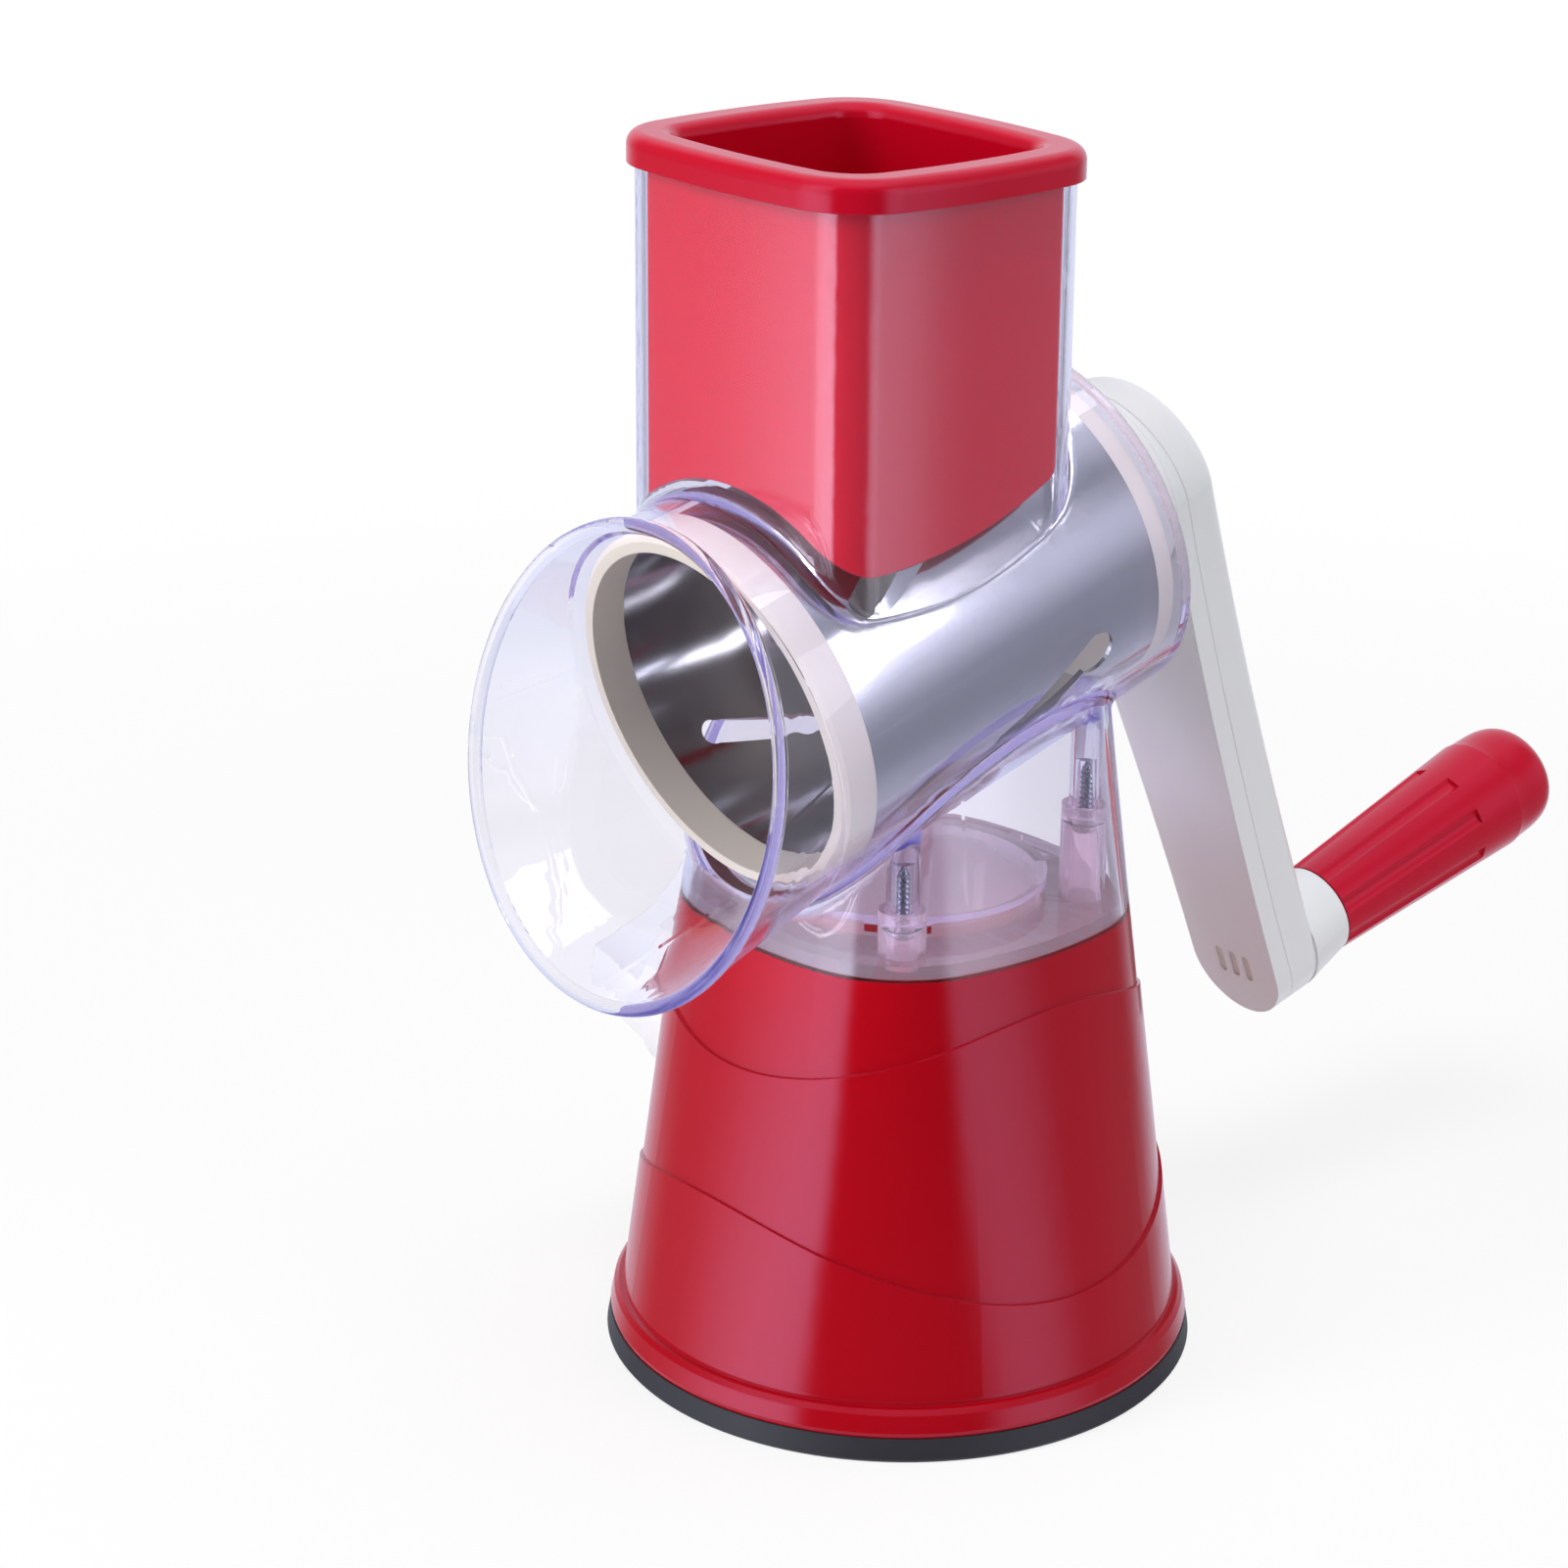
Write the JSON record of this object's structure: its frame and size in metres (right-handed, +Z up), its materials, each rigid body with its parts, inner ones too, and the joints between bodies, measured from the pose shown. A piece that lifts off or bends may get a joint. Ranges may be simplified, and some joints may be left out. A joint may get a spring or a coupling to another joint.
{
  "type": "vegetable shredder",
  "caption": "Hand-cranked vegetable shredder: clear hopper and outlet over a steel cutting drum, red suction base with lock knob, white crank arm and red grip.",
  "frame": {"origin": "centre of the rubber foot, on the table", "axes": "+Z up; -Y towards the flared outlet, +Y towards the crank; the lock knob is on -X"},
  "size_m": [0.1483, 0.2952, 0.2686],
  "materials": {
    "red_shell": "gloss",
    "white_plastic": "gloss",
    "cream_plastic": "satin",
    "clear_plastic": "clear",
    "black_rubber": "satin",
    "pad_rubber": "matt",
    "drum_steel": "polished",
    "screw_steel": "zinc plated",
    "frame_plastic": "matt",
    "spring_steel": "drawn"
  },
  "bodies": {
    "base": {"base_shell": "red_shell", "foot_ring": "black_rubber", "base_frame": "frame_plastic", "frame_screws": "screw_steel", "latch_spring": "spring_steel"},
    "knob": {"cam_shaft": "screw_steel", "lock_knob": "white_plastic", "knob_inlay": "red_shell", "knob_screw": "screw_steel"},
    "plunger": {"plunger": "frame_plastic", "suction_pad": "pad_rubber"},
    "latch": {"latch_tab": "white_plastic"},
    "clear_body": {"housing": "clear_plastic", "housing_floor": "clear_plastic", "housing_screws": "screw_steel"},
    "pusher": {"food_pusher": "red_shell"},
    "crank": {"crank_arm": "white_plastic", "arm_cover": "white_plastic", "drive_shaft": "frame_plastic", "button_spring": "spring_steel", "grip_axle": "screw_steel", "grip_screw": "screw_steel"},
    "drum": {"drum_sheet": "drum_steel", "drum_front_ring": "cream_plastic", "drum_rear_cap": "cream_plastic"},
    "grip": {"grip": "red_shell", "grip_end_cap": "white_plastic"},
    "button": {"release_button": "red_shell"},
    "slide": {"latch_slide": "frame_plastic"}
  },
  "joints": [
    {"name": "knob_turn", "type": "hinge", "parent": "base", "child": "knob", "pos_m": [0, 0, 0.0518], "axis": [0.9848, 0, -0.1736], "range_deg": [0, 90]},
    {"name": "plunger_lift", "type": "slide", "parent": "base", "child": "plunger", "axis": [0, 0, 1], "range_m": [0, 0.004]},
    {"name": "latch_press", "type": "slide", "parent": "base", "child": "latch", "axis": [0, -1, 0], "range_m": [0, 0.0025], "stiffness_N_per_m": 600, "springref_m": -0.001, "deforming": ["latch_spring"]},
    {"name": "body_lift", "type": "slide", "parent": "base", "child": "clear_body", "axis": [0, 0, 1], "range_m": [0, 0.06]},
    {"name": "pusher_slide", "type": "slide", "parent": "clear_body", "child": "pusher", "axis": [0, 0, 1], "range_m": [0, 0.09]},
    {"name": "crank_turn", "type": "hinge", "parent": "clear_body", "child": "crank", "pos_m": [0, 0, 0.1692], "axis": [0, 0.9659, 0.2588], "continuous": true},
    {"name": "drum_slide", "type": "slide", "parent": "crank", "child": "drum", "axis": [0, -0.9659, -0.2588], "range_m": [0, 0.1]},
    {"name": "grip_spin", "type": "hinge", "parent": "crank", "child": "grip", "pos_m": [0, 0.03494, 0.0388], "axis": [0, 0.9659, 0.2588], "continuous": true},
    {"name": "button_press", "type": "slide", "parent": "crank", "child": "button", "axis": [0, -0.9659, -0.2588], "range_m": [0, 0.0025], "stiffness_N_per_m": 300, "springref_m": -0.002},
    {"name": "slide_shift", "type": "slide", "parent": "crank", "child": "slide", "axis": [1, 0, 0], "range_m": [0, 0.0025], "deforming": ["button_spring"]}
  ],
  "couplings": [
    {"joint": "knob_turn", "follows": "plunger_lift", "rad_per_m": 392.69},
    {"joint": "slide_shift", "follows": "button_press", "ratio": 1}
  ]
}
